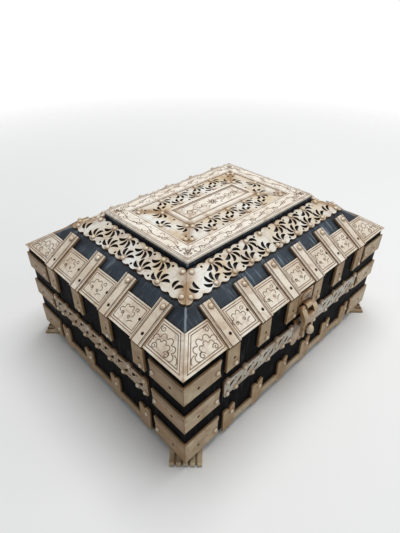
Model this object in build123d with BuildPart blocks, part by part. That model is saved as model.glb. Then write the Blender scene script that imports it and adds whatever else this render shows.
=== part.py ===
from build123d import *
from math import atan2, cos, floor, radians, sin, sqrt, tan
import os

os.makedirs("parts", exist_ok=True)

# A bone-mounted ebonised casket with a sloping lid. All sizes are in millimetres.
# X runs along the front to the right, Y from the front to the back, Z up.

# Case boards
case_length = 296.0
case_depth = 236.0
case_wall = 74.0
board = 9.0
base_thickness = 6.0

# Lid boards: each slope is one board with a steeper lower face and a flatter upper face
seam = 0.4
lid_wall = 29.6
lower_run = 33.0
lower_rise = 22.0
upper_run = 26.0
upper_rise = 10.9
slope_foot = 14.0
slope_landing = 14.0
top_thickness = 5.4

# Bone plates and the small gap at their mitres and butts
plate = 2.0
joint_gap = 0.1

# Straps on the slopes, the drops below them and the tabs at the foot of the case
front_straps = 6
side_straps = 4
corner_field = 50.5
strap_width = 13.6
strap_thickness = 3.6
strap_reach = 37.0
strap_lip = 2.0
strap_groove = 0.5
strap_groove_pitch = 1.2
drop_thickness = 2.4
drop_flare = 0.6
drop_clear_of_seam = 2.6
tab_width = 14.6
tab_height = 31.0
tab_below_case = 4.5
border_strip_height = 9.0

# Engraved plaques between the straps
plaque_reach = 25.7
plaque_drip = 1.1

# Mitred corner strips: their gap to the nearest strap, and each one's place and height
strip_to_strap = 6.2
lid_strip_below_edge = 26.0
lid_strip_height = 18.5
middle_strip_height = 19.0
middle_strip_below = 12.0
base_strip_height = 24.5
base_strip_up = 0.8
strip_hollow = 1.4

# Pierced band round the case
band_core = 17.0
band_pin_inset = 1.0
band_centre_below = 17.5
band_lobe = 3.6
band_lobe_pitch = 21.0
band_from_strips = 4.5
band_leaf_out = 6.6
band_leaf_down = 1.6
band_leaf_turn = 40.0

# Pierced fretwork on the slopes
fret_start = 1.8
fret_end = 27.2
scallop_pitch = 10.4
scallop_radius = 5.8
scallop_depth = 1.8
fan_pitch = 24.0
fan_inset = 3.4
hip_fan = 4.0
hip_leaves = 2

# Plates on the flat top
border_width = 18.3
border_thickness = 2.6
border_bevel = 0.8
ring_width = 23.0
panel_thickness = 3.8
panel_moulding = 4.5
panel_sunk = 0.7
panel_gap = 0.3

# Leaf-shaped piercings
leaf_length = 8.2
leaf_back = 3.8
leaf_hollow = 0.4
small_leaf_share = 0.87
leaf_start = 3.0
leaves_in_fan = 4
leaf_turn = 42.0
eye_radius = 1.2

# Domed bone pins
pin_head = 2.4
pin_dome = 2.1
pin_shank = 0.9
pin_length = 6.5

# Carved feet
foot_height = 8.0
foot_width = 28.0
foot_setback = 14.0
toe_setback = 1.5
foot_depth = 15.0
toes = 5
toe_gap = 1.9
toe_relief = 1.8

# Brass hinges at the back
hinge_side_gap = 2.1
hinge_leaf = 1.2
hinge_leaf_height = 14.0
hinge_barrel = 2.6
hinge_off_wall = 0.1
hinge_pin = 1.3
hinge_running = 0.05
hinge_end_gap = 0.3
nail_head = 1.3
nail_dome = 0.7
nail_shank = 0.7
nail_length = 4.0

# Clasp: a hasp that hangs from a staple on the lid, and a turn knob on the case
clasp_side_gap = 1.1
clasp_gap = 0.5
staple_width = 8.0
staple_thickness = 1.6
staple_below_edge = 18.0
clasp_plate_corner = 2.0
shell_width = 17.0
shell_height = 9.0
shell_thickness = 1.4
shell_from_edge = 1.0
hasp_bar = 1.6
hasp_bar_gap = 0.3
hasp_back_gap = 0.3
hasp_shoulder = 2.3
hasp_shoulder_in = 4.0
hasp_brow_below = 4.5
hasp_thickness = 3.5
hasp_stand_off = 5.0
hasp_swell = 1.2
hasp_window_side = 1.0
hasp_window_drop = 6.5
fork_arm = 3.5
fork_side_gap = 0.5
fork_top_gap = 1.0
fork_below_knob = 8.0
knob_below_seam = 13.5
knob_head_width = 8.0
knob_head_height = 11.0
knob_head_depth = 4.6
knob_head_gap = 1.2
knob_neck = 2.4
knob_shank = 2.0
knob_running = 0.06
knob_short = 0.5
clasp_plate_foot = 24.5

# Levels and angles that follow from the sizes above
case_bottom = foot_height
case_top = case_bottom + case_wall
lid_bottom = case_top + seam
lid_edge = lid_bottom + lid_wall
lower_slope = atan2(lower_rise, lower_run)
upper_slope = atan2(upper_rise, upper_run)
slope_run = lower_run + upper_run
slope_top = lid_edge + lower_rise + upper_rise
top_level = slope_top + top_thickness
toe_half = foot_width / 2
foot_splay = plate + (toe_half - toe_setback) / sqrt(2)
fork_front = plate + hasp_stand_off + hasp_thickness
knob_tip = fork_front + knob_head_gap + knob_head_depth
strip_length = corner_field - strap_width / 2 - strip_to_strap
front_field = (case_length - 2 * corner_field) / (front_straps - 1) - strap_width - 2 * drop_flare
clasp_width = front_field - 2 * clasp_side_gap
hinge_width = front_field - 2 * hinge_side_gap
case_centre = Vector(0, (knob_tip - foot_splay) / 2, 0)

side_angles = {"front": -90, "right": 0, "back": 90, "left": 180}
side_after = {"front": "right", "right": "back", "back": "left", "left": "front"}
corner_names = {
    "front": "front_right",
    "right": "back_right",
    "back": "back_left",
    "left": "front_left",
}


def outward(side):
    angle = radians(side_angles[side])
    return Vector(cos(angle), sin(angle), 0)


def along(side):
    return outward(side).rotate(Axis.Z, 90)


def is_long(side):
    return side in ("front", "back")


def half_run(side):
    return (case_length if is_long(side) else case_depth) / 2


def half_span(side):
    return (case_depth if is_long(side) else case_length) / 2


def wall_plane(side, height=0.0, out=0.0):
    """A plane on a side's outer board face: x along the side, y up, z outward."""
    origin = case_centre + outward(side) * (half_span(side) + out) + Vector(0, 0, height)
    return Plane(origin=origin, x_dir=along(side), z_dir=outward(side))


def tilted_plane(side, foot, angle, out):
    """A plane up a slope from its foot: x along the side, y up the slope, z out of it."""
    normal = outward(side) * sin(angle) + Vector(0, 0, 1) * cos(angle)
    return Plane(origin=foot + normal * out, x_dir=along(side), z_dir=normal)


def lower_plane(side, out=0.0):
    return tilted_plane(side, wall_plane(side, lid_edge).origin, lower_slope, out)


def upper_plane(side, out=0.0):
    foot = wall_plane(side, lid_edge + lower_rise, -lower_run).origin
    return tilted_plane(side, foot, upper_slope, out)


def section_plane(side):
    """A plane across the middle of a side: x outward from the board face, y up."""
    return Plane(origin=wall_plane(side).origin, x_dir=outward(side), z_dir=-along(side))


def hip_plane(side, end, gap=joint_gap):
    """The upright mitre plane at one end of a side, facing away from the side."""
    facing = (along(side) * end - outward(side)).normalized()
    corner = wall_plane(side).origin + along(side) * (end * half_run(side))
    return Plane(origin=corner - facing * gap, z_dir=facing)


def on_plane(plane, x, y):
    """The location of a point on a plane, turned with the plane."""
    return plane * Location((x, y, 0))


def strap_count(side):
    return front_straps if is_long(side) else side_straps


def strap_places(side):
    """Where the straps of a side stand along it, from left to right."""
    first = half_run(side) - corner_field
    pitch = 2 * first / (strap_count(side) - 1)
    return [index * pitch - first for index in range(strap_count(side))]


def leaf_shape(length, back, hollow):
    """A bent leaf, from its stalk at the origin along X."""
    with BuildSketch() as shape:
        with BuildLine():
            ThreePointArc((0, 0), (length * 0.55, back), (length, 0))
            ThreePointArc((length, 0), (length * 0.45, hollow), (0, 0))
        make_face()
    return shape.sketch


leaf = leaf_shape(leaf_length, leaf_back, leaf_hollow)
small_leaf = leaf_shape(leaf_length * small_leaf_share, leaf_back * small_leaf_share, leaf_hollow)


# Case boards: front and back run the full length, the ends and the base fit between them
def make_case_board(side):
    half = half_run(side) if is_long(side) else half_run(side) - board
    with BuildPart() as case_board:
        with BuildSketch(wall_plane(side, case_bottom)):
            Rectangle(2 * half, case_wall, align=(Align.CENTER, Align.MIN))
        extrude(amount=-board)
        if side == "front":
            with Locations(on_plane(wall_plane(side), 0, knob_level)):
                Hole(radius=knob_shank + knob_running, depth=2 * board)
    case_board.part.label = f"{side}_board"
    export_step(case_board.part, f"parts/{side}_board.step")


def make_base():
    with BuildPart() as base:
        with BuildSketch(Plane(case_centre).offset(case_bottom)):
            Rectangle(case_length - 2 * board, case_depth - 2 * board)
        extrude(amount=base_thickness)
    base.part.label = "base_board"
    export_step(base.part, "parts/base_board.step")


# Carved paw feet: each one faces its corner, and its toes splay beyond the walls
def make_foot(side):
    corner = case_centre + outward(side) * (half_span(side) + plate)
    corner = corner + along(side) * (half_run(side) + plate)
    diagonal = (outward(side) + along(side)).normalized()
    across = diagonal.rotate(Axis.Z, 90)
    toe_pitch = (foot_width + toe_gap) / toes

    def profile(plane, relief):
        """The foot's outline: x out along the diagonal, y up."""
        with BuildSketch(plane) as outline:
            with BuildLine():
                top_front = (-foot_setback - relief, foot_height)
                knuckle = (-toe_setback - relief - foot_height * 0.25, foot_height * 0.48 - relief * 0.8)
                instep = (knuckle[0] * 0.4 + (-toe_setback - relief) * 0.6, foot_height * 0.4 - relief * 0.7)
                toe_tip = (-toe_setback - relief, foot_height * 0.2)
                toe_sole = (-toe_setback - relief - foot_height * 0.2, 0)
                round_in = foot_height * 0.2 * (1 - sqrt(0.5))
                back_sole = (-toe_setback - foot_depth, 0)
                back_top = (-foot_setback - foot_depth * 0.8, foot_height)
                TangentArc(top_front, knuckle, tangent=(0.3, -1))
                ThreePointArc(knuckle, instep, toe_tip)
                ThreePointArc(toe_tip, (toe_tip[0] - round_in, round_in), toe_sole)
                Polyline(toe_sole, back_sole, back_top, top_front)
            make_face()
        return outline

    middle = Plane(origin=corner, x_dir=diagonal, z_dir=-across)
    with BuildPart() as foot:
        with BuildSketch(middle):
            add(profile(Plane.XY, toe_relief).sketch)
        extrude(amount=foot_width / 2 - toe_relief / 2, both=True)
        for toe in range(toes):
            shift = (toe - (toes - 1) / 2) * toe_pitch
            with BuildSketch(middle.offset(shift)):
                add(profile(Plane.XY, 0).sketch)
            extrude(amount=(toe_pitch - toe_gap) / 2, both=True)
    foot.part.label = f"foot_{corner_names[side]}"
    export_step(foot.part, f"parts/foot_{corner_names[side]}.step")


# Lid boards: four upright walls, four mitred slopes and the flat top board on them
def make_lid_wall(side):
    half = half_run(side) if is_long(side) else half_run(side) - board
    with BuildPart() as lid_board:
        with BuildSketch(wall_plane(side, lid_bottom)):
            Rectangle(2 * half, lid_wall, align=(Align.CENTER, Align.MIN))
        extrude(amount=-board)
    lid_board.part.label = f"lid_{side}_board"
    export_step(lid_board.part, f"parts/lid_{side}_board.step")


def make_slope_board(side):
    with BuildPart() as slope_board:
        with BuildSketch(section_plane(side)):
            with BuildLine():
                Polyline(
                    (0, lid_edge),
                    (-slope_foot, lid_edge),
                    (-slope_run - slope_landing, slope_top),
                    (-slope_run, slope_top),
                    (-lower_run, lid_edge + lower_rise),
                    close=True,
                )
            make_face()
        extrude(amount=half_run(side), both=True)
        for end in (-1, 1):
            split(bisect_by=hip_plane(side, end, 0), keep=Keep.BOTTOM)
    slope_board.part.label = f"slope_{side}_board"
    export_step(slope_board.part, f"parts/slope_{side}_board.step")


def make_top_board():
    with BuildPart() as top_board:
        with BuildSketch(Plane(case_centre).offset(top_level)):
            Rectangle(case_length - 2 * slope_run, case_depth - 2 * slope_run)
        extrude(amount=-top_thickness)
    top_board.part.label = "top_board"
    export_step(top_board.part, "parts/top_board.step")


# Engraved plaques: one in each field between the straps, the corner ones mitred at the hips
def make_plaques(side):
    places = strap_places(side)
    inner = strap_width / 2 + joint_gap
    far = half_run(side) + plate * 2
    edges = [-far] + [place + turn * inner for place in places for turn in (-1, 1)] + [far]
    with BuildPart() as plaques:
        with BuildSketch(lower_plane(side)):
            for left, right in zip(edges[0::2], edges[1::2]):
                with Locations(((left + right) / 2, -plaque_drip)):
                    Rectangle(right - left, plaque_reach + plaque_drip, align=(Align.CENTER, Align.MIN))
        extrude(amount=plate)
        for end in (-1, 1):
            split(bisect_by=hip_plane(side, end), keep=Keep.BOTTOM)
    plaques.part.label = f"{side}_plaques"
    export_step(plaques.part, f"parts/{side}_plaques.step")


# Straps: moulded bone bars over the slope, each with a flat drop below it on the lid's wall
def strap_section():
    """Half of a strap's section, from its edge to its middle, with two fine grooves."""
    half = strap_width / 2
    depth = strap_thickness - strap_groove
    points = [(0, 0), (half, 0), (half, depth), (half - strap_groove, strap_thickness)]
    for groove in (1, 2):
        middle = half - groove * strap_groove_pitch - strap_groove / 2
        points.append((middle + strap_groove / 2, strap_thickness))
        points.append((middle, depth))
        points.append((middle - strap_groove / 2, strap_thickness))
    return points + [(0, strap_thickness)]


def make_straps(side):
    foot = lower_plane(side)
    base = Plane(origin=foot.origin - foot.y_dir * strap_lip, x_dir=foot.x_dir, z_dir=-foot.y_dir)
    with BuildPart() as straps:
        with BuildSketch(base):
            with Locations(*[(place, 0) for place in strap_places(side)]):
                with BuildSketch(mode=Mode.PRIVATE) as section:
                    with BuildLine():
                        Polyline(*strap_section(), close=True)
                    make_face()
                    mirror(about=Plane.YZ)
                add(section.sketch)
        extrude(amount=-(strap_reach + strap_lip))
    straps.part.label = f"{side}_straps"
    export_step(straps.part, f"parts/{side}_straps.step")


def make_drops():
    drop_top = lid_edge - drop_thickness * tan(lower_slope) - 2 * joint_gap
    drop_foot = lid_bottom + drop_clear_of_seam
    half = strap_width / 2
    with BuildPart() as drops:
        for side in side_angles:
            with BuildSketch(wall_plane(side)):
                with BuildSketch(mode=Mode.PRIVATE) as outline:
                    with BuildLine():
                        Polyline(
                            (-half - drop_flare, drop_foot),
                            (-half, drop_top),
                            (half, drop_top),
                            (half + drop_flare, drop_foot),
                        )
                        ThreePointArc(
                            (half + drop_flare, drop_foot),
                            (0, drop_foot + drop_flare),
                            (-half - drop_flare, drop_foot),
                        )
                    make_face()
                with Locations(*[(place, 0) for place in strap_places(side)]):
                    add(outline.sketch)
            extrude(amount=drop_thickness)
    drops.part.label = "strap_drops"
    export_step(drops.part, "parts/strap_drops.step")


# Pierced fretwork: scalloped edges, and leaves fanned round each pin
def fan_places(length, width):
    """Centres of the upward and of the downward fans in a band, from its lower edge."""
    fans = max(1, round(length / fan_pitch))
    step = length / fans
    upward = [((index + 0.5) * step - length / 2, fan_inset) for index in range(fans)]
    downward = [(index * step - length / 2, width - fan_inset) for index in range(1, fans)]
    return upward, downward


def cut_fan(shape, x, y, first, leaves):
    """Cut one fan of leaves round a point of the sketch."""
    with Locations((x, y)):
        with PolarLocations(leaf_start, leaves, first, leaf_turn * (leaves - 1), endpoint=True):
            add(shape, mode=Mode.SUBTRACT)


def pierce(shape, length, width, plane_x=0.0, plane_y=0.0):
    """Cut the leaves and eyes of a band out of the sketch."""
    upward, downward = fan_places(length, width)
    first = 90 - leaf_turn * (leaves_in_fan - 1) / 2
    for fans, turn, level in ((upward, 0, width - fan_inset), (downward, 180, fan_inset)):
        for x, y in fans:
            cut_fan(shape, plane_x + x, plane_y + y, first + turn, leaves_in_fan)
            with Locations((plane_x + x, plane_y + level)):
                Circle(eye_radius, mode=Mode.SUBTRACT)


def fret_pieces(side):
    """Each fretwork plate of a side, as its centre along the side and its pierced length."""
    inner = half_run(side) - slope_run
    if is_long(side):
        return [(-inner / 2, inner), (inner / 2, inner)]
    return [(0, 2 * inner)]


def make_fretwork(side):
    width = fret_end - fret_start
    far = half_run(side)
    scallops = floor(2 * far / scallop_pitch)
    with BuildPart() as fretwork:
        with BuildSketch(upper_plane(side)):
            with Locations((0, fret_start + width / 2)):
                Rectangle(2 * far, width - 2 * scallop_depth)
            for level in (fret_start + scallop_radius, fret_end - scallop_radius):
                with Locations((0, level)):
                    with GridLocations(scallop_pitch, 1, scallops, 1):
                        Circle(scallop_radius)
            for centre, length in fret_pieces(side):
                pierce(leaf, length, width, centre, fret_start)
            for end in (-1, 1):
                place = end * (half_run(side) - slope_run + hip_fan)
                first = 90 - leaf_turn * (hip_leaves - 1) * (1 + end) / 2
                cut_fan(leaf, place, fret_start + fan_inset, first, hip_leaves)
            if is_long(side):
                with Locations((0, (fret_start + fret_end) / 2)):
                    Rectangle(2 * joint_gap, width * 2, mode=Mode.SUBTRACT)
        extrude(amount=plate)
        for end in (-1, 1):
            split(bisect_by=hip_plane(side, end), keep=Keep.BOTTOM)
    fretwork.part.label = f"{side}_fretwork"
    export_step(fretwork.part, f"parts/{side}_fretwork.step")


# Flat top: an engraved border, a pierced ring and a raised panel in the middle
def top_half(side, inset):
    return half_run(side) - slope_run - inset


def top_plane(side, inset, height=0.0):
    """A level plane whose x runs along a side and whose y runs inward from the inset."""
    origin = case_centre + outward(side) * (half_span(side) - slope_run - inset)
    return Plane(origin=origin + Vector(0, 0, top_level + height), x_dir=along(side), z_dir=(0, 0, 1))


def mitred(side, inset, width):
    """The four-sided outline of a plate on the flat top, mitred at both ends."""
    outer = top_half(side, inset) - joint_gap
    with BuildSketch(mode=Mode.PRIVATE) as outline:
        with BuildLine():
            Polyline((-outer, 0), (outer, 0), (outer - width, width), (width - outer, width), close=True)
        make_face()
    return outline.sketch


def make_top_border():
    with BuildPart() as border:
        for side in side_angles:
            with BuildSketch(top_plane(side, 0)):
                add(mitred(side, 0, border_width))
            extrude(amount=border_thickness)
        upper = border.faces().filter_by(Axis.Z).sort_by(Axis.Z)[-4:]
        outer = [face.edges().filter_by(GeomType.LINE).sort_by(Edge.length)[-1] for face in upper]
        chamfer(outer, border_bevel)
    border.part.label = "top_border"
    export_step(border.part, "parts/top_border.step")


def make_top_ring():
    inset = border_width + joint_gap
    with BuildPart() as ring:
        for side in side_angles:
            length = 2 * (top_half(side, inset) - ring_width)
            with BuildSketch(top_plane(side, inset)):
                add(mitred(side, inset, ring_width))
                pierce(small_leaf, length, ring_width)
                for end in (-1, 1):
                    first = 270 - leaf_turn * (leaves_in_fan - 2 + end) / 2
                    cut_fan(small_leaf, end * length / 2, ring_width - fan_inset, first, leaves_in_fan - 1)
                    with Locations((end * (top_half(side, inset) - ring_width / 2), ring_width / 3)):
                        Circle(eye_radius, mode=Mode.SUBTRACT)
            extrude(amount=plate)
    ring.part.label = "top_ring"
    export_step(ring.part, "parts/top_ring.step")


def make_panel():
    inset = border_width + ring_width + panel_gap
    length = 2 * top_half("front", inset)
    width = 2 * top_half("left", inset)
    with BuildPart() as panel:
        with BuildSketch(Plane(case_centre).offset(top_level)):
            Rectangle(length, width)
        extrude(amount=panel_thickness)
        chamfer(panel.faces().sort_by(Axis.Z)[-1].edges(), panel_moulding / 3)
        with BuildSketch(Plane(case_centre).offset(top_level + panel_thickness)):
            Rectangle(length - 2 * panel_moulding, width - 2 * panel_moulding)
        extrude(amount=-panel_sunk, mode=Mode.SUBTRACT)
    panel.part.label = "centre_panel"
    export_step(panel.part, "parts/centre_panel.step")


# Corner strips: pairs of bone plates that meet in a mitre at each corner
def strip_outline(side, end, low, height):
    """A strip from the corner to its hollowed far end."""
    near = end * (half_run(side) + plate * 2)
    far = end * (half_run(side) - strip_length)
    with BuildSketch(mode=Mode.PRIVATE) as outline:
        with BuildLine():
            Polyline((far, low), (near, low), (near, low + height), (far, low + height))
            ThreePointArc(
                (far, low + height),
                (far + end * strip_hollow, low + height / 2),
                (far, low),
            )
        make_face()
    return outline.sketch


def corner_strip(side, end, low, height):
    """One strip of a corner, cut at the mitre."""
    with BuildPart() as strip:
        with BuildSketch(wall_plane(side)):
            add(strip_outline(side, end, low, height))
        extrude(amount=plate)
        split(bisect_by=hip_plane(side, end), keep=Keep.BOTTOM)
    return strip.part


def case_strip_levels():
    return (
        (case_bottom + base_strip_up, base_strip_height),
        (case_top - middle_strip_below - middle_strip_height, middle_strip_height),
    )


def make_case_corner(side):
    pieces = [
        corner_strip(face, end, low, height)
        for low, height in case_strip_levels()
        for face, end in ((side, 1), (side_after[side], -1))
    ]
    with BuildPart() as strips:
        add(pieces)
    strips.part.label = f"corner_strips_{corner_names[side]}"
    export_step(strips.part, f"parts/corner_strips_{corner_names[side]}.step")


def make_lid_corners():
    low = lid_edge - lid_strip_below_edge
    pieces = [
        corner_strip(side, end, low, lid_strip_height) for side in side_angles for end in (-1, 1)
    ]
    with BuildPart() as strips:
        add(pieces)
    strips.part.label = "lid_corner_strips"
    export_step(strips.part, "parts/lid_corner_strips.step")


# Pierced band: lobed plates round the case, with a gap at the clasp and at each hinge
def hinge_places():
    places = strap_places("back")
    return ((places[0] + places[1]) / 2, (places[-2] + places[-1]) / 2)


def band_spans(side):
    far = half_run(side) - strip_length - band_from_strips
    if side == "front":
        inner = clasp_width / 2 + clasp_gap
        return [(-far, -inner), (inner, far)]
    if side == "back":
        left, right = hinge_places()
        clear = hinge_width / 2 + clasp_gap * 2
        return [(-far, left - clear), (left + clear, right - clear), (right + clear, far)]
    return [(-far, far)]


def band_pins(span):
    """Pins of one band plate: a row near its upper edge and one near its lower edge."""
    left, right = span[0] + band_lobe, span[1] - band_lobe
    steps = max(1, round((right - left) / band_lobe_pitch))
    pitch = (right - left) / steps
    level = band_core / 2 - band_pin_inset
    upper = [(left + index * pitch, level) for index in range(steps + 1)]
    lower = [(left + (index + 0.5) * pitch, -level) for index in range(steps)]
    ends = [(left, -level), (right, -level)]
    return upper + lower + ends


def make_band(side):
    level = case_top - band_centre_below
    with BuildPart() as band:
        with BuildSketch(wall_plane(side, level)):
            for span in band_spans(side):
                with Locations(((span[0] + span[1]) / 2, 0)):
                    Rectangle(span[1] - span[0], band_core)
                with Locations(*band_pins(span)):
                    Circle(band_lobe)
            for span in band_spans(side):
                for x, y in band_pins(span):
                    if y > 0 and x + band_lobe_pitch / 2 < span[1]:
                        middle = x + band_lobe_pitch / 2
                        for turn in (0, 180):
                            start = Vector(-band_leaf_out, -band_leaf_down).rotate(Axis.Z, turn)
                            with Locations((middle + start.X, start.Y)):
                                add(small_leaf, rotation=band_leaf_turn + turn, mode=Mode.SUBTRACT)
                        with Locations((middle, y * 0.6), (x, -y * 0.5)):
                            Circle(eye_radius * 0.8, mode=Mode.SUBTRACT)
        extrude(amount=plate)
    band.part.label = f"{side}_band"
    export_step(band.part, f"parts/{side}_band.step")


# Tabs and border strips at the foot of the case
def make_tabs(side):
    half = tab_width / 2
    low = case_bottom - tab_below_case
    high = low + tab_height
    tooth = tab_width / 3
    with BuildPart() as tabs:
        with BuildSketch(wall_plane(side)):
            with BuildSketch(mode=Mode.PRIVATE) as outline:
                with BuildLine():
                    Line((-half, low + 1.5), (-half, high - 2.5))
                    ThreePointArc((-half, high - 2.5), (-half * 0.45, high - 2.0), (0, high - 4.0))
                    ThreePointArc((0, high - 4.0), (half * 0.35, high - 1.2), (half * 0.75, high))
                    ThreePointArc((half * 0.75, high), (half * 0.95, high - 1.0), (half, high - 3.0))
                    Line((half, high - 3.0), (half, low + 3.0))
                    for index in range(3):
                        right = half - index * tooth
                        lift = 3.0 - index * 1.5
                        ThreePointArc(
                            (right, low + lift),
                            (right - tooth * 0.45, low + max(0, lift - 1.9)),
                            (right - tooth, low + max(lift - 1.5, 0) + (1.5 if index == 2 else 0)),
                        )
                make_face()
            with Locations(*[(place, 0) for place in strap_places(side)]):
                add(outline.sketch)
        extrude(amount=plate)
    tabs.part.label = f"{side}_tabs"
    export_step(tabs.part, f"parts/{side}_tabs.step")


def make_border_strips():
    with BuildPart() as strips:
        for side in side_angles:
            places = strap_places(side)
            with BuildSketch(wall_plane(side, case_bottom)):
                for left, right in zip(places, places[1:]):
                    with Locations(((left + right) / 2, 0)):
                        Rectangle(
                            right - left - tab_width - 2 * joint_gap,
                            border_strip_height,
                            align=(Align.CENTER, Align.MIN),
                        )
            extrude(amount=plate)
    strips.part.label = "border_strips"
    export_step(strips.part, "parts/border_strips.step")


# Pins: domed heads on shanks driven through the plates into the boards
def headed_pin(head, dome, shank, length):
    """A pin along Z, with the underside of its domed head at the origin."""
    ball = (head**2 + dome**2) / (2 * dome)
    with BuildPart() as pin:
        with Locations((0, 0, dome - ball)):
            Sphere(ball)
        split(bisect_by=Plane.XY, keep=Keep.TOP)
        with BuildSketch():
            Circle(shank)
        extrude(amount=-length)
    return pin.part


def make_pins(name, pin, places):
    with BuildPart() as pins:
        with Locations(*places):
            add(pin)
    pins.part.label = name
    export_step(pins.part, f"parts/{name}.step")


def strip_pin(side, end, low, height):
    return on_plane(wall_plane(side, 0, plate), end * (half_run(side) - strip_length + 4.4), low + height * 0.4)


def case_pin_places():
    places = []
    for side in side_angles:
        face = wall_plane(side, 0, plate)
        for span in band_spans(side):
            for x, y in band_pins(span):
                places.append(on_plane(face, x, case_top - band_centre_below + y))
        for x in strap_places(side):
            high = case_bottom - tab_below_case + tab_height
            places.append(on_plane(face, x + tab_width * 0.2, high - 9.0))
        for end in (-1, 1):
            for low, height in case_strip_levels():
                places.append(strip_pin(side, end, low, height))
    return places


def lid_pin_places():
    places = []
    for side in side_angles:
        for x in strap_places(side):
            top = lower_plane(side, strap_thickness)
            places.append(on_plane(top, x + strap_width * 0.08, strap_reach - 5.0))
            drop_low = lid_bottom + drop_clear_of_seam
            places.append(on_plane(wall_plane(side, 0, drop_thickness), x + strap_width * 0.22, drop_low + 4.6))
        for end in (-1, 1):
            places.append(strip_pin(side, end, lid_edge - lid_strip_below_edge, lid_strip_height))
    return places


def fret_pin_places():
    places = []
    width = fret_end - fret_start
    for side in side_angles:
        face = upper_plane(side, plate)
        for centre, length in fret_pieces(side):
            for fans in fan_places(length, width):
                places += [on_plane(face, centre + x, fret_start + y) for x, y in fans]
        for end in (-1, 1):
            for s in (fret_start + fan_inset + 1.0, fret_end - fan_inset):
                inset = lower_run + s * cos(upper_slope) + 4.2
                places.append(on_plane(face, end * (half_run(side) - inset), s))
        if is_long(side):
            places.append(on_plane(face, 3.2, fret_start + fan_inset))
            places.append(on_plane(face, -3.2, fret_end - fan_inset))
    return places


def top_pin_places():
    places = []
    inset = border_width + joint_gap
    for side in side_angles:
        face = top_plane(side, inset, plate)
        length = 2 * (top_half(side, inset) - ring_width)
        for fans in fan_places(length, ring_width):
            places += [on_plane(face, x, y) for x, y in fans]
        for end in (-1, 1):
            for y in (fan_inset, ring_width - fan_inset):
                places.append(on_plane(face, end * (top_half(side, inset) - y - 4.0), y))
    return places


# Hinges: a case leaf with two knuckles, a lid leaf with one, and a pin through them
hinge_level = case_top + seam / 2
hinge_out = hinge_off_wall + hinge_barrel


def hinge_leaves(knuckles, direction):
    """One leaf for each hinge: direction is -1 below the pin and 1 above it."""
    tongue = hinge_barrel + hinge_end_gap
    with BuildPart() as leaves:
        for place in hinge_places():
            with BuildSketch(wall_plane("back", hinge_level)):
                with Locations((place, direction * (tongue + hinge_leaf_height / 2))):
                    Rectangle(hinge_width, hinge_leaf_height)
                for centre, length in knuckles:
                    with Locations((place + centre, direction * (tongue + hinge_barrel) / 2)):
                        Rectangle(length, tongue + hinge_barrel)
            extrude(amount=hinge_leaf)
            for centre, length in knuckles:
                middle = wall_plane("back").origin + along("back") * (place + centre)
                across = Plane(origin=middle, x_dir=outward("back"), z_dir=-along("back"))
                with BuildSketch(across):
                    with Locations((hinge_out, hinge_level)):
                        Circle(hinge_barrel)
                extrude(amount=length / 2, both=True)
                with BuildSketch(across):
                    with Locations((hinge_out, hinge_level)):
                        Circle(hinge_pin + hinge_running)
                extrude(amount=length / 2, both=True, mode=Mode.SUBTRACT)
    return leaves


def make_hinges():
    middle = hinge_width / 2
    outer = (hinge_width - middle) / 2
    offset = (middle + outer) / 2
    case_leaves = hinge_leaves([(-offset, outer), (offset, outer)], -1)
    case_leaves.part.label = "case_hinge_leaves"
    export_step(case_leaves.part, "parts/case_hinge_leaves.step")
    lid_leaves = hinge_leaves([(0, middle - 2 * hinge_end_gap)], 1)
    lid_leaves.part.label = "lid_hinge_leaves"
    export_step(lid_leaves.part, "parts/lid_hinge_leaves.step")
    with BuildPart() as pins:
        for place in hinge_places():
            centre = wall_plane("back").origin + along("back") * place
            with BuildSketch(Plane(origin=centre, x_dir=outward("back"), z_dir=-along("back"))):
                with Locations((hinge_out, hinge_level)):
                    Circle(hinge_pin)
            extrude(amount=hinge_width / 2 + hinge_end_gap, both=True)
    pins.part.label = "hinge_pins"
    export_step(pins.part, "parts/hinge_pins.step")


def nail_places(direction):
    face = wall_plane("back", hinge_level, hinge_leaf)
    middle = direction * (hinge_barrel + hinge_end_gap + hinge_leaf_height / 2)
    return [
        on_plane(face, place + dx * hinge_width * 0.33, middle + dy * hinge_leaf_height * 0.28)
        for place in hinge_places()
        for dx in (-1, 1)
        for dy in (-1, 1)
    ]


# Clasp: the staple on the lid, the hasp that hangs in it, the case plate and the turn knob
staple_level = lid_edge - staple_below_edge
pivot_out = plate + hasp_back_gap + hasp_shoulder
lid_plate_low = lid_bottom + drop_clear_of_seam
lid_plate_high = lid_edge - drop_thickness * tan(lower_slope) - 2 * joint_gap
knob_level = case_top - knob_below_seam


def make_lid_clasp_plate():
    inner = hasp_bar + hasp_bar_gap
    outer = inner + staple_thickness
    with BuildPart() as lid_plate:
        with BuildSketch(wall_plane("front", lid_plate_low)):
            Rectangle(clasp_width, lid_plate_high - lid_plate_low, align=(Align.CENTER, Align.MIN))
        extrude(amount=plate)
        fillet(lid_plate.edges().filter_by(Axis.Y), clasp_plate_corner)
        shell_level = lid_plate_high - shell_height / 2 - shell_from_edge
        with BuildSketch(wall_plane("front", shell_level, plate)):
            Ellipse(shell_width / 2, shell_height / 2)
        extrude(amount=shell_thickness)
        chamfer(lid_plate.faces().sort_by(Axis.Y)[0].edges(), shell_thickness / 2)
        with BuildSketch(section_plane("front")):
            for radius, mode in ((outer, Mode.ADD), (inner, Mode.SUBTRACT)):
                with Locations(((plate + pivot_out) / 2, staple_level)):
                    Rectangle(pivot_out - plate, 2 * radius, mode=mode)
                with Locations((pivot_out, staple_level)):
                    Circle(radius, mode=mode)
        extrude(amount=staple_width / 2, both=True)
    lid_plate.part.label = "lid_clasp_plate"
    export_step(lid_plate.part, "parts/lid_clasp_plate.step")


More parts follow.
